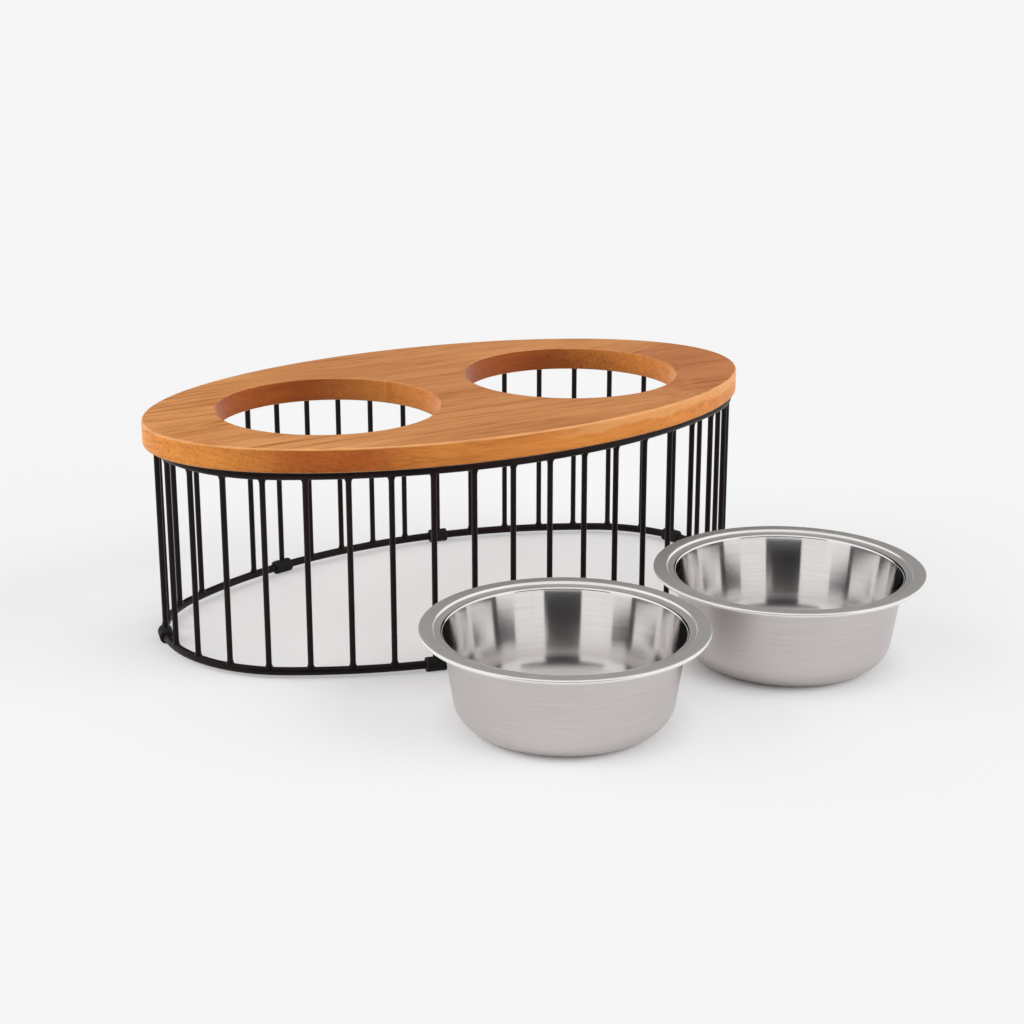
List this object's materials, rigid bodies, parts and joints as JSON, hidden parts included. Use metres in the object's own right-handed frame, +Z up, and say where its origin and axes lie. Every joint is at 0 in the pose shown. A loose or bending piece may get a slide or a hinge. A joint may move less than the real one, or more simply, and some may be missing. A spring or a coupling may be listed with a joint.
{
  "type": "elevated pet feeder",
  "caption": "Oval wooden board with round bowl holes on a cage of welded black wire, with lift-out stainless steel bowls standing in front, to feed a pet at a raised height.",
  "frame": {"origin": "On the floor, under the middle of the oval board.", "axes": "X runs along the board's length to the right, Y to the back (the bowls stand on the -Y side), Z is up. The axes of both bowl holes run along Z."},
  "size_m": [0.5035, 0.5015, 0.174],
  "materials": {
    "black_powder_coat": "satin black powder coat on steel wire",
    "black_rubber": "matt black rubber sleeve",
    "screw_steel": "zinc plated",
    "lacquered_wood": "honey stain under satin lacquer",
    "stainless_steel": "brushed outside, polished inside"
  },
  "bodies": {
    "stand": {"top_ring": "black_powder_coat", "bottom_ring": "black_powder_coat", "upright_01": "black_powder_coat", "upright_02": "black_powder_coat", "upright_03": "black_powder_coat", "upright_04": "black_powder_coat", "upright_05": "black_powder_coat", "upright_06": "black_powder_coat", "upright_07": "black_powder_coat", "upright_08": "black_powder_coat", "upright_09": "black_powder_coat", "upright_10": "black_powder_coat", "upright_11": "black_powder_coat", "upright_12": "black_powder_coat", "upright_13": "black_powder_coat", "upright_14": "black_powder_coat", "upright_15": "black_powder_coat", "upright_16": "black_powder_coat", "upright_17": "black_powder_coat", "upright_18": "black_powder_coat", "upright_19": "black_powder_coat", "upright_20": "black_powder_coat", "upright_21": "black_powder_coat", "upright_22": "black_powder_coat", "upright_23": "black_powder_coat", "upright_24": "black_powder_coat", "upright_25": "black_powder_coat", "upright_26": "black_powder_coat", "upright_27": "black_powder_coat", "upright_28": "black_powder_coat", "upright_29": "black_powder_coat", "upright_30": "black_powder_coat", "upright_31": "black_powder_coat", "upright_32": "black_powder_coat", "upright_33": "black_powder_coat", "upright_34": "black_powder_coat", "upright_35": "black_powder_coat", "upright_36": "black_powder_coat", "upright_37": "black_powder_coat", "upright_38": "black_powder_coat", "upright_39": "black_powder_coat", "upright_40": "black_powder_coat", "foot_right_end": "black_rubber", "foot_back_right": "black_rubber", "foot_back_left": "black_rubber", "foot_left_end": "black_rubber", "foot_front_left": "black_rubber", "foot_front_right": "black_rubber", "tab_right_end": "black_powder_coat", "tab_back": "black_powder_coat", "tab_left_end": "black_powder_coat", "tab_front": "black_powder_coat", "board_screws": "screw_steel", "top_board": "lacquered_wood"},
    "left_bowl": {"bowl_left": "stainless_steel"},
    "right_bowl": {"bowl_right": "stainless_steel"}
  },
  "joints": [
    {"name": "left_bowl_lift", "type": "slide", "parent": "stand", "child": "left_bowl", "axis": [0, 0, 1], "range_m": [0, 0.25]},
    {"name": "right_bowl_lift", "type": "slide", "parent": "stand", "child": "right_bowl", "axis": [0, 0, 1], "range_m": [0, 0.25]}
  ]
}
